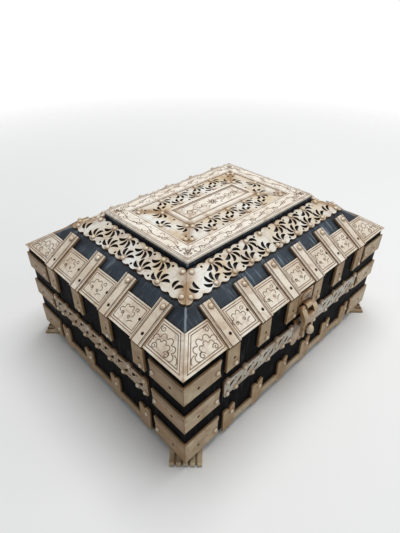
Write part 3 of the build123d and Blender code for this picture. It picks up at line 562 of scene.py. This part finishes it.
def nail_hole_shades(name, body, spots, radius):
    """Near-black low domes of painted shade in nail holes, each given by its place and the way it faces.
    """
    rim_points, rings, crown = 12, ((1.0, -0.05), (0.88, 0.10), (0.5, 0.07)), 0.06
    points, faces = [], []
    for spot, facing in spots:
        turned = facing.to_track_quat("Z", "Y")
        base = len(points)
        for share, rise in rings:
            for step in range(rim_points):
                angle = tau * step / rim_points
                local = Vector((radius * share * cos(angle), radius * share * sin(angle), rise)) * mm
                points.append(spot + turned @ local)
        points.append(spot + facing * crown * mm)
        for step in range(rim_points):
            after = (step + 1) % rim_points
            for low in (base, base + rim_points):
                faces.append((low + step, low + after, low + rim_points + after, low + rim_points + step))
            inner = base + 2 * rim_points
            faces.append((inner + step, inner + after, inner + rim_points))
    add_piece(name, body, points, faces, nail_hole_shade)


corner_field, strap_half = 50.5, 6.8
plaque_low, plaque_high, plate_rise = -1.1, 25.7, 2.0
line_gap, foot_margin, head_margin = 1.9, 2.2, 1.6
side_margin, corner_margin, hip_margin = 1.3, 1.4, 2.2
hole_from_strap, hole_up_slope = 3.8, 13.6


def strap_spots(side):
    """Where the straps stand along a side, in mm."""
    first = half_run[side] / mm - corner_field
    gaps = strap_count[side] - 1
    return [first * (2 * index / gaps - 1) for index in range(gaps + 1)]


def hip_at(side, s):
    """How far along a side its hip is at a place up the slope, in mm."""
    return half_run[side] / mm - s * cos(slope_angle)


plaque_lines, plaque_holes = [], []
hip_lean = sqrt(1 + cos(slope_angle) ** 2)
for side in along:
    to_place, facing = slope_map(side, plate_rise), slope_facing(side)
    straps = strap_spots(side)
    drawn = []
    for left, right in zip(straps, straps[1:]):
        left, right = left + strap_half, right - strap_half
        for inset in (0.0, line_gap):
            low, high = plaque_low + foot_margin + inset, plaque_high - head_margin - inset
            near, far = left + side_margin + inset, right - side_margin - inset
            drawn.append([(near, low), (far, low), (far, high), (near, high), (near, low)])
        heart = (left + right) / 2
        drawn += cloud(heart - 2.4, 9.6, width=13.0, height=7.0, lobes=4, lean=0.12, rows=1)
        drawn.append(bent(heart - 8.6, 6.2, radius=4.6, start=0.02, end=0.20))
        drawn.append(bent(heart + 6.4, 4.2, radius=4.2, start=0.22, end=0.44))
        drawn.append(curl(heart + 5.4, 17.6, radius=2.2, start=0.6, turns=-1.1))
        plaque_holes.append((to_place(right - hole_from_strap, hole_up_slope), facing))
    for end in (-1, 1):
        near = end * (straps[-1] + strap_half)
        for inset in (0.0, line_gap):
            low, high = plaque_low + foot_margin + inset, plaque_high - head_margin - inset
            hip_gap = (hip_margin + inset) * hip_lean
            start = near + end * (corner_margin + inset)
            lower, upper = end * (hip_at(side, low) - hip_gap), end * (hip_at(side, high) - hip_gap)
            drawn.append([(start, low), (lower, low), (upper, high), (start, high), (start, low)])
        drawn += cloud(near + end * 14.5, 5.6, width=22.0, height=9.5, lobes=5, lean=-end * 0.30)
        drawn.append(curl(near + end * 6.5, 19.5, radius=2.6, start=0.4, turns=end * 1.2))
        arc = {"start": 0.25 - end * 0.23, "end": 0.25 + end * 0.02}
        drawn.append(bent(near + end * 27.5, 3.6, radius=5.5, **arc))
    plaque_lines += [([to_place(x, s) for x, s in line], facing) for line in drawn]
engrave("plaque_engraving", "lid", plaque_lines)
nail_hole_shades("plaque_nail_holes", "lid", plaque_holes, radius=1.4)

# Straps: thick bone bars laid over the slopes to hide the joints between the plaques, with a
# scored line along each edge and a nail hole near the foot, shown by a dome of painted shade.
for letter, across in (("x", "y"), ("y", "x")):
    strap_bone = bone(
        f"strap_bone_{letter}",
        streak_ways[across],
        (ivory, cream),
        stained=0.32,
        dirt_and_shade_reach=4.0 * mm,
        rusty=0.95,
        gloss=0.36,
    )
    for side in pairs[letter]:
        finish_node(f"{side}_straps", strap_bone)

strap_low, strap_high, strap_rise = -2.0, 37.0, 3.6
groove_offset, groove_width, groove_steps, groove_end = 4.15, 1.0, 4, 0.1
hole_aside, hole_from_foot = 1.0, 6.8
groove_length = strap_high - strap_low - 2 * groove_end
groove_run = [
    strap_low + groove_end + groove_length * step / groove_steps for step in range(groove_steps + 1)
]
groove_lines, strap_holes = [], []
for side in along:
    to_place, facing = slope_map(side, strap_rise), slope_facing(side)
    for spot in strap_spots(side):
        for offset in (-groove_offset, groove_offset):
            groove_lines.append(([to_place(spot + offset, s) for s in groove_run], facing))
        strap_holes.append((to_place(spot + hole_aside, hole_from_foot), facing))
engrave("strap_scoring", "lid", groove_lines, width=groove_width)
nail_hole_shades("strap_nail_holes", "lid", strap_holes, radius=1.5)

# Drops and strips: plain bone plates on the walls, browner than the top's. A drop ends each
# strap, and mitred strips clasp the corners and line the foot of the case. Old nail holes are
# shown by near-black domes of painted shade, and the strips on the ends have scored lines
# along their edges.
drop_bone = bone(
    "drop_bone",
    upright,
    (buff, honey),
    stained=0.60,
    dirt_and_shade_reach=2.4 * mm,
    rusty=0.8,
    gloss=0.40,
    fine=1.7,
)
finish_node("strap_drops", drop_bone)
strip_bone = bone(
    "strip_bone",
    (0.1, 0.1, 1.0),
    (light_tan, tan),
    stained=0.60,
    dirt_and_shade_reach=2.4 * mm,
    rusty=0.7,
    gloss=0.40,
    hips=(4 * mm, 0.5),
    # Painted shade browns the strips' faces that turn to left or right.
    side_shade=0.8,
    fine=1.7,
)
for name in ["lid_corner_strips", "border_strips"] + [f"corner_strips_{corner}" for corner in corners]:
    finish_node(name, strip_bone)

drop_rise, drop_hole_aside, drop_hole_level = 2.4, 1.2, 96.6
wall_foot, wall_head = (corner[2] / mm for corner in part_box("front_board"))
strip_rows = {
    "lid": ((rim_top / mm - 26.0, 18.5),),
    "case": ((wall_foot + 0.8, 24.5), (wall_head - 31.0, 19.0)),
}
strip_length, hole_from_corner, hole_height = 37.5, 13.0, 0.42
scores_below_edge, score_above_foot = (1.7, 3.0), 1.8
score_past_corner, score_short_of_end = 1.6, 1.9


def wall_map(side, rise):
    """A map from a place on a side's wall, x along it and z up in mm, to the object."""
    foot = centre + out[side] * (half_span[side] + rise * mm)
    return lambda x, z: foot + along[side] * x * mm + up * z * mm


for body, rows in strip_rows.items():
    holes, scored = [], []
    for side in along:
        to_place, reach = wall_map(side, plate_rise), half_run[side] / mm
        for low, height in rows:
            for end in (-1, 1):
                hole = to_place(end * (reach - hole_from_corner), low + height * hole_height)
                holes.append((hole, out[side]))
                near = end * (reach + score_past_corner)
                far = end * (reach - strip_length + score_short_of_end)
                levels = [low + height - down for down in scores_below_edge] + [low + score_above_foot]
                for line in levels if side in pairs["y"] else ():
                    scored.append(([to_place(near, line), to_place(far, line)], out[side]))
        if body == "lid":
            on_drop = wall_map(side, drop_rise)
            for spot in strap_spots(side):
                holes.append((on_drop(spot + drop_hole_aside, drop_hole_level), out[side]))
    nail_hole_shades(f"{body}_strip_nail_holes", body, holes, radius=1.4)
    engrave(f"{body}_strip_scoring", body, scored)

# Fretwork and ring: sheets of thin bone, pierced with a fine saw and pinned to the upper slopes
# and round the flat top. They are bleached in the open and browned at the hips.
blue_bone, golden_bone = (0.76, 0.76, 0.72, 1), (0.60, 0.48, 0.32, 1)
for letter, way in streak_ways.items():
    fret_bone = bone(
        f"fret_bone_{letter}",
        way,
        (blue_bone, golden_bone),
        stained=0.50,
        # The long reach fills the walls of the piercings with dirt and painted shade.
        dirt_and_shade_reach=5.0 * mm,
        rusty=0.95,
        gloss=0.38,
        hips=(11 * mm, 0.85),
    )
    for side in pairs[letter]:
        finish_node(f"{side}_fretwork", fret_bone)
    if letter == "x":
        finish_node("top_ring", fret_bone)

# Flat top: a mitred border and a raised panel of the palest bone. The border is engraved with
# double lines, a running vine and clouds, and the sunk middle of the panel with a rosette
# between scrolls of foliage.
top_tones = ((0.84, 0.79, 0.70, 1), (0.76, 0.68, 0.57, 1))
top_bone = bone(
    "top_bone",
    streak_ways["x"],
    top_tones,
    stained=0.45,
    dirt_and_shade_reach=4.0 * mm,
    rusty=0.70,
    gloss=0.38,
    hips=(5 * mm, 0.5),
)
finish_node("top_border", top_bone)
finish_node("centre_panel", top_bone)

border_rise, border_width, border_inset = 2.6, 18.3, 59.0
border_depths, mitre_gap = (1.6, 3.2, border_width - 1.5), 0.4
vine_end, vine_bend, vine_depth, vine_sway, vine_steps = 14.0, 17.0, 9.3, 2.2, 8
border_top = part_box("top_board")[1][2] + border_rise * mm
border_lines = []
for side in along:
    edge = half_run[side] / mm - border_inset
    outer = centre + out[side] * (half_span[side] - border_inset * mm) + up * border_top
    drawn = []
    for depth in border_depths:
        reach = edge - depth - mitre_gap
        drawn.append([(-reach, depth), (0, depth), (reach, depth)])
    run = edge - vine_end
    bends = max(2, round(2 * run / vine_bend))
    wave = []
    for step in range(bends * vine_steps + 1):
        x = -run + 2 * run * step / (bends * vine_steps)
        wave.append((x, vine_depth + vine_sway * cos(pi * (x + run) * bends / (2 * run))))
    drawn.append(wave)
    for index in range(bends):
        x = -run + 2 * run * (index + 0.5) / bends
        hand = 1 if index % 2 else -1
        heart, aim = vine_depth + hand * 1.2, 0.25 * hand
        drawn.append(curl(x + 1.5, heart, radius=3.3, start=0.5 if hand > 0 else 0.0, turns=hand * 1.25))
        drawn.append(bent(x - 4.4, heart + hand * 1.4, radius=2.6, start=aim - 0.20, end=aim + 0.24))
        drawn.append(bent(x - 4.0, heart - hand * 3.4, radius=1.9, start=0.02, end=0.44))
    for hand in (1, -1):
        drawn += cloud(hand * (edge - 13.0), 6.6, width=8.0, height=4.2, lobes=3, lean=-hand * 0.5)
    for line in drawn:
        border_lines.append(([outer + (along[side] * x - out[side] * y) * mm for x, y in line], up))
engrave("border_engraving", "lid", border_lines)

panel_frame, panel_sink, panel_insets, scroll_places = 4.5, 0.7, (1.4, 2.5), (12.0, 21.5, 31.0)
petals, petal_foot, petal_belly, petal_tip, petal_swell = 8, 1.2, 3.4, 5.4, 0.05
panel_low, panel_high = (Vector(corner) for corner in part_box("centre_panel"))
panel_heart = (panel_low + panel_high) / 2
panel_heart.z = panel_high.z - panel_sink * mm
panel_half = (panel_high - panel_low) / 2 / mm
drawn = []
for inset in panel_insets:
    x, y = panel_half.x - panel_frame - inset, panel_half.y - panel_frame - inset
    drawn.append([(-x, -y), (x, -y), (x, y), (-x, y), (-x, -y)])


def round_heart(radius, turns):
    return radius * cos(tau * turns), radius * sin(tau * turns)


for index in range(petals):
    aim = index / petals
    for hand in (-1, 1):
        belly = round_heart(petal_belly, aim + hand * petal_swell)
        drawn.append([round_heart(petal_foot, aim), belly, round_heart(petal_tip, aim)])
drawn.append(bent(0, 0, radius=petal_foot, start=0, end=1, steps=10))
for hand in (-1, 1):
    for index, x in enumerate(scroll_places):
        flip = 1 if index % 2 else -1
        start, aim = 0.5 if hand > 0 else 0.0, 0.25 * flip
        drawn.append(curl(hand * x, flip * 1.2, radius=4.4, start=start, turns=hand * flip * 1.4))
        drawn.append(bent(hand * (x + 4.6), -flip * 1.8, radius=3.0, start=aim - 0.24, end=aim + 0.22))
        drawn.append(bent(hand * (x + 2.0), -flip * 6.0, radius=2.4, start=0.05, end=0.45))
        drawn.append(bent(hand * (x - 3.4), flip * 6.2, radius=1.8, start=0.1, end=0.6))
panel_lines = [([panel_heart + Vector((x, y, 0)) * mm for x, y in line], up) for line in drawn]
engrave("panel_engraving", "lid", panel_lines)

# Pins: pegs of turned bone with polished domed heads, driven through the plates into the wood.
# Each head sits in a ring of rust-brown dirt.
pin_tones = ((0.84, 0.78, 0.66, 1), (0.70, 0.57, 0.38, 1))
pin_bone = bone(
    "pin_bone",
    even,
    pin_tones,
    stained=0.35,
    dirt_and_shade_reach=1.6 * mm,
    rusty=0.75,
    gloss=0.16,
    shine=0.5,
    # The pins' rims seen aslant are darkened as painted shade.
    aslant_shade=0.85,
)
for name in ("case_pins", "lid_pins", "fretwork_pins"):
    finish_node(name, pin_bone)

# Clasp: a hasp, its staple and two plates carved from thick bone, browned and rubbed smooth by
# use, and a turned knob of the pins' bone. Ribs of lac fan out on the shell-shaped boss that
# is carved on the lid plate above the hasp.
clasp_tones = ((0.62, 0.47, 0.30, 1), honey)
clasp_bone = bone(
    "clasp_bone",
    (1, 1, 0.2),
    clasp_tones,
    stained=0.95,
    # The long reach spreads dirt and painted shade round the hasp and its plates.
    dirt_and_shade_reach=8.0 * mm,
    rusty=0.95,
    gloss=0.26,
    shine=0.5,
    fine=2.4,
)
for name in ("lid_clasp_plate", "hasp", "case_clasp_plate"):
    finish_node(name, clasp_bone)
finish_node("turn_knob", pin_bone)

shell_rise, shell_below_edge = 1.4, 7.3
rib_count, rib_first, rib_step = 7, 0.11, 0.13
rib_foot, rib_drop, rib_width, rib_height = 0.9, 3.0, 6.8, 3.2
on_shell = wall_map("front", plate_rise + shell_rise)
heart = rim_top / mm - shell_below_edge
ribs = []
for index in range(rib_count):
    angle = pi * (rib_first + rib_step * index)
    start = on_shell(rib_foot * cos(angle), heart - rib_drop + rib_foot * sin(angle))
    end = on_shell(rib_width * cos(angle), heart + rib_height * sin(angle))
    ribs.append(([start, end], out["front"]))
engrave("shell_ribs", "lid", ribs)

# Hinges: two pairs of cast brass leaves at the back, gone dull and brown. They turn on brass
# pins and are nailed to the boards.
brass, tree = new_material("brass")
place = add_node(tree, "ShaderNodeTexCoord").outputs["Object"]
tarnish = stretched_noise(tree, place, even, scale=160.0, detail=5.0)
tarnish = ramp_between(tree, tarnish, 0.4, 0.65)
colour = mix_colour(tree, tarnish, (0.60, 0.44, 0.20, 1), (0.26, 0.17, 0.08, 1))
rough = ramp_between(tree, tarnish, 0.0, 1.0, 0.28, 0.55)
close_material(tree, {"Base Color": colour, "Roughness": rough, "Metallic": 1.0})
for name in ("case_hinge_leaves", "lid_hinge_leaves", "hinge_pins", "case_hinge_nails", "lid_hinge_nails"):
    finish_node(name, brass)
